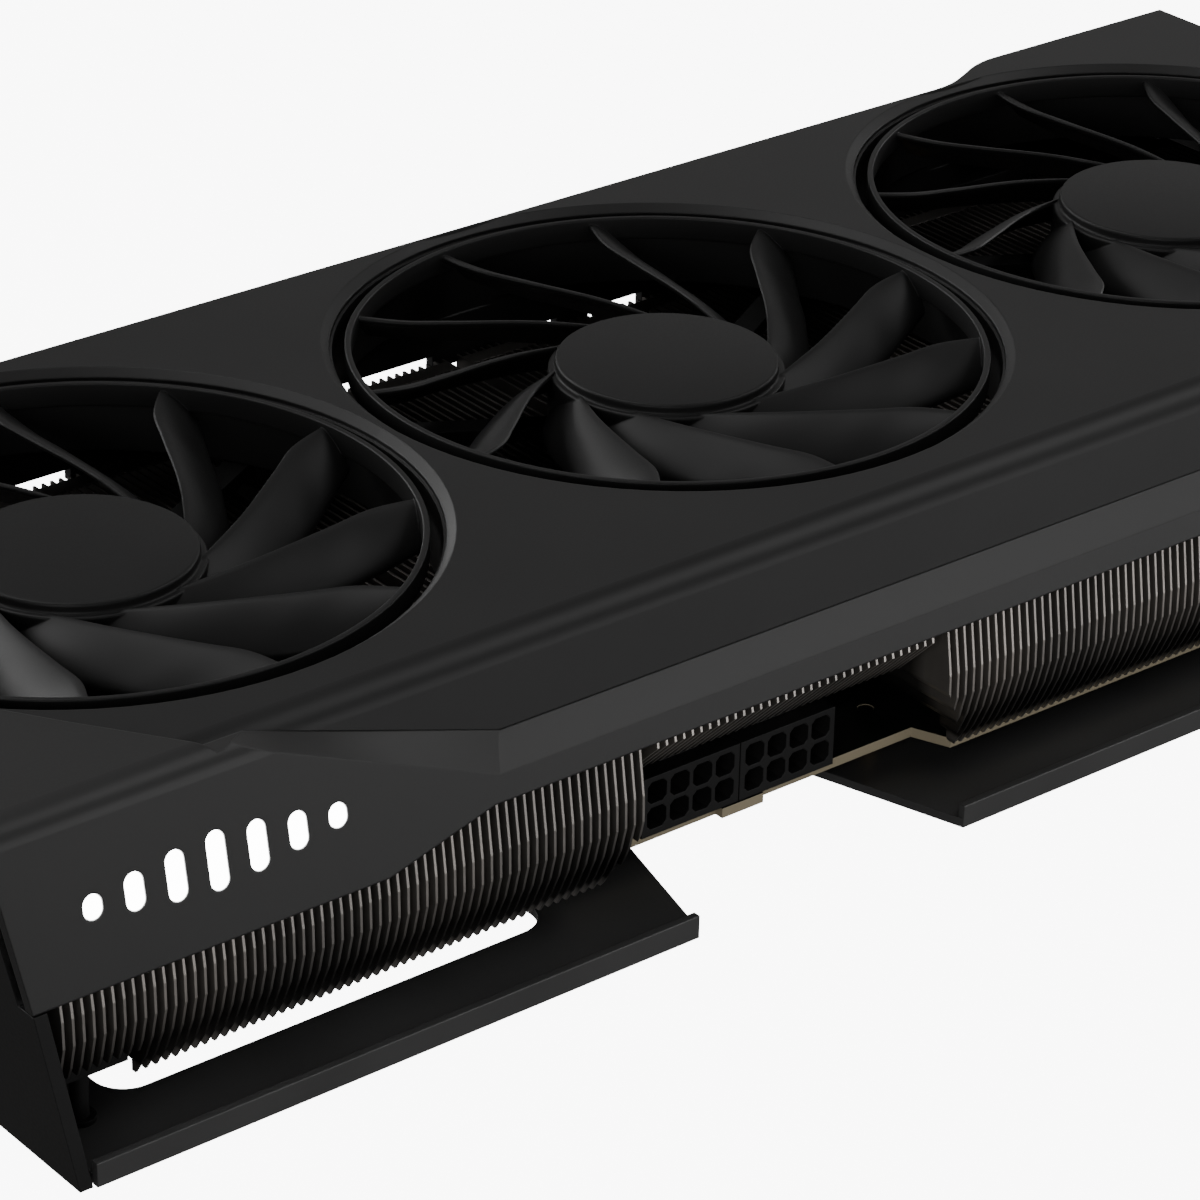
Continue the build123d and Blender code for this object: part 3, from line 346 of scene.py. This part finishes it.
def along_stations(pick, t):
    """Smooth (Catmull-Rom) value between the blade's stations, t from 0 to 1."""
    last = len(BLADE_STATIONS) - 1
    place = min(int(t * last), last - 1)
    u = t * last - place
    a, b, c, d = (pick(BLADE_STATIONS[min(max(place + k, 0), last)]) for k in (-1, 0, 1, 2))
    return 0.5 * (2 * b + (c - a) * u + (2 * a - 5 * b + 4 * c - d) * u * u + (3 * b - a - 3 * c + d) * u ** 3)


def blade_ring(t):
    """Closed section of a blade at t along its span, with rounded edges."""
    lead = Vector((along_stations(lambda s: s[0][0], t), along_stations(lambda s: s[0][1], t)))
    trail = Vector((along_stations(lambda s: s[1][0], t), along_stations(lambda s: s[1][1], t)))
    top = along_stations(lambda s: s[2], t)
    drop = top - along_stations(lambda s: s[3], t)
    chord = (trail - lead).length
    along = (trail - lead).normalized()
    bend = (0.58 * chord, -0.30 * drop)     # middle point of the section's curve
    upper, lower = [], []
    for step in range(CHORD_STEPS + 1):
        c = 0.5 - 0.5 * cos(pi * step / CHORD_STEPS)
        reach = 2 * c * (1 - c) * bend[0] + c * c * chord
        fall = 2 * c * (1 - c) * bend[1] - c * c * drop
        slope = Vector((2 * (1 - c) * bend[0] + 2 * c * (chord - bend[0]),
                        2 * (1 - c) * bend[1] + 2 * c * (-drop - bend[1]))).normalized()
        middle = Vector((reach, fall)) + Vector((slope.y, -slope.x)) * BLADE / 2
        half = BLADE / 2 * (1 - abs(2 * c - 1) ** BLADE_EDGE) ** 0.5
        upper.append(middle - Vector((slope.y, -slope.x)) * half)
        lower.append(middle + Vector((slope.y, -slope.x)) * half)
    ring = upper + lower[-2:0:-1]
    return [((lead + along * p.x).x, (lead + along * p.x).y, top + p.y) for p in ring]


def add_blade(shape, turn):
    """Add one closed blade, turned about the fan's axis."""
    spin = Matrix.Rotation(turn, 3, "Z")
    rings = []
    for step in range(SPAN_STEPS + 1):
        rings.append([shape.verts.new(spin @ Vector(point) * MM) for point in blade_ring(step / SPAN_STEPS)])
    for inner, outer in zip(rings, rings[1:]):
        for index in range(len(inner)):
            follow = (index + 1) % len(inner)
            shape.faces.new((inner[index], outer[index], outer[follow], inner[follow]))
    shape.faces.new(rings[0])
    shape.faces.new(rings[-1][::-1])


def rotor_mesh():
    """Hub with its stepped cap, eleven blades and the outer ring."""
    shape = bmesh.new()
    add_lathe(shape, arc_corners(HUB, 0.55, closed=False), closed=False)
    add_lathe(shape, arc_corners(RING, 0.32), turns=192)
    for index in range(BLADE_COUNT):
        add_blade(shape, 2 * pi * index / BLADE_COUNT - tip_turn)
    bmesh.ops.recalc_face_normals(shape, faces=shape.faces)
    mesh = bpy.data.meshes.new("rotor")
    shape.to_mesh(mesh)
    shape.free()
    return mesh


rotor = rotor_mesh()
for index, phase in enumerate(FAN_PHASES):
    number = index + 1
    mesh = rotor.copy()
    place = Matrix.Translation(((index - 1) * FAN_SPACING * MM, 0, 0))
    mesh.transform(place @ Matrix.Rotation(radians(phase), 4, "Z"))
    piece_from(mesh, f"fan_rotor_{number}_finished", f"fan_{number}", "rotor", [f"fan_rotor_{number}"])
bpy.data.meshes.remove(rotor)


# ---- studio -------------------------------------------------------------------
# metres
FLOOR_DROP = 0.30
FLOOR_SPAN = 9.0
FLOOR_FLAT_END = 5.4
FLOOR_BEND = 1.5
FLOOR_BEND_STEPS = 16
FLOOR_TOP = 5.0
FLOOR_GLOW = 8.0


def stage_floor():
    """A wide pale sheet well below the card, gently curved up at its far end."""
    shape = bmesh.new()
    profile = [(-FLOOR_SPAN, 0.0), (FLOOR_FLAT_END, 0.0)]
    for step in range(1, FLOOR_BEND_STEPS + 1):
        turn = pi / 2 * step / FLOOR_BEND_STEPS
        profile.append((FLOOR_FLAT_END + FLOOR_BEND * sin(turn), FLOOR_BEND * (1 - cos(turn))))
    profile.append((FLOOR_FLAT_END + FLOOR_BEND, FLOOR_TOP))
    rows = []
    for along, height in profile:
        rows.append([shape.verts.new((side, along, height - FLOOR_DROP)) for side in (-FLOOR_SPAN, FLOOR_SPAN)])
    for near, far in zip(rows, rows[1:]):
        shape.faces.new((near[0], near[1], far[1], far[0]))
    mesh = bpy.data.meshes.new("floor")
    shape.to_mesh(mesh)
    shape.free()
    mesh.shade_smooth()
    floor = bpy.data.objects.new("floor", mesh)
    bpy.context.scene.collection.objects.link(floor)
    made = surface("pale_floor", grey(0.86), grey(0.88), 0.9, specular=0.1, patch_size=2000)
    shader = made.node_tree.nodes["Principled BSDF"]
    shader.inputs["Emission Color"].default_value = (1, 1, 1, 1)
    shader.inputs["Emission Strength"].default_value = FLOOR_GLOW
    mesh.materials.append(made)
    # it is seen, but lights nothing: the softboxes do that
    floor.visible_diffuse = False
    floor.visible_glossy = False


def softbox(name, place, size, power):
    """A rectangular lamp that faces the card, in metres and watts."""
    light = bpy.data.lights.new(name, "AREA")
    light.shape = "RECTANGLE"
    light.size, light.size_y = size
    light.energy = power
    lamp = bpy.data.objects.new(name, light)
    lamp.location = place
    lamp.rotation_mode = "QUATERNION"
    lamp.rotation_quaternion = (-Vector(place)).to_track_quat("-Z", "Y")
    lamp.visible_camera = False
    bpy.context.scene.collection.objects.link(lamp)


stage_floor()
softbox("key", (0.84, -0.50, 1.14), (0.9, 0.6), 6.6)
softbox("far_side", (1.05, 0.95, 0.45), (0.9, 0.5), 0.5)
softbox("near_side", (0.84, -1.25, 0.02), (0.9, 0.45), 6)
# these light the sides turned away from the camera
softbox("far_tail", (-0.75, 1.15, 0.60), (1.0, 0.7), 12)
softbox("far_low", (-0.20, 1.50, 0.10), (1.2, 0.5), 9)
softbox("bracket_end", (1.45, 0.00, 0.15), (0.8, 0.5), 6)
softbox("near_tail", (-1.20, -0.90, 0.60), (0.9, 0.6), 8)
softbox("near_low", (-0.30, -1.50, 0.10), (1.0, 0.5), 5)
softbox("overhead", (-0.25, 0.55, 1.50), (1.0, 0.8), 10)

# strength of the fill from well below the card, and from its level up
FILL_BELOW = 0.12
FILL_ABOVE = 0.26


def studio_world():
    """Soft fill from all round, weaker from below the card."""
    world = bpy.data.worlds.new("studio")
    world.use_nodes = True
    tree = world.node_tree
    background = tree.nodes["Background"]
    background.inputs["Color"].default_value = (1.0, 0.98, 0.97, 1)
    place = tree.nodes.new("ShaderNodeTexCoord")
    parts = tree.nodes.new("ShaderNodeSeparateXYZ")
    tree.links.new(place.outputs["Generated"], parts.inputs["Vector"])
    fade = tree.nodes.new("ShaderNodeMapRange")
    fade.inputs["From Min"].default_value = -0.5
    fade.inputs["From Max"].default_value = 0.0
    fade.inputs["To Min"].default_value = FILL_BELOW
    fade.inputs["To Max"].default_value = FILL_ABOVE
    tree.links.new(parts.outputs["Z"], fade.inputs["Value"])
    tree.links.new(fade.outputs["Result"], background.inputs["Strength"])
    bpy.context.scene.world = world


studio_world()
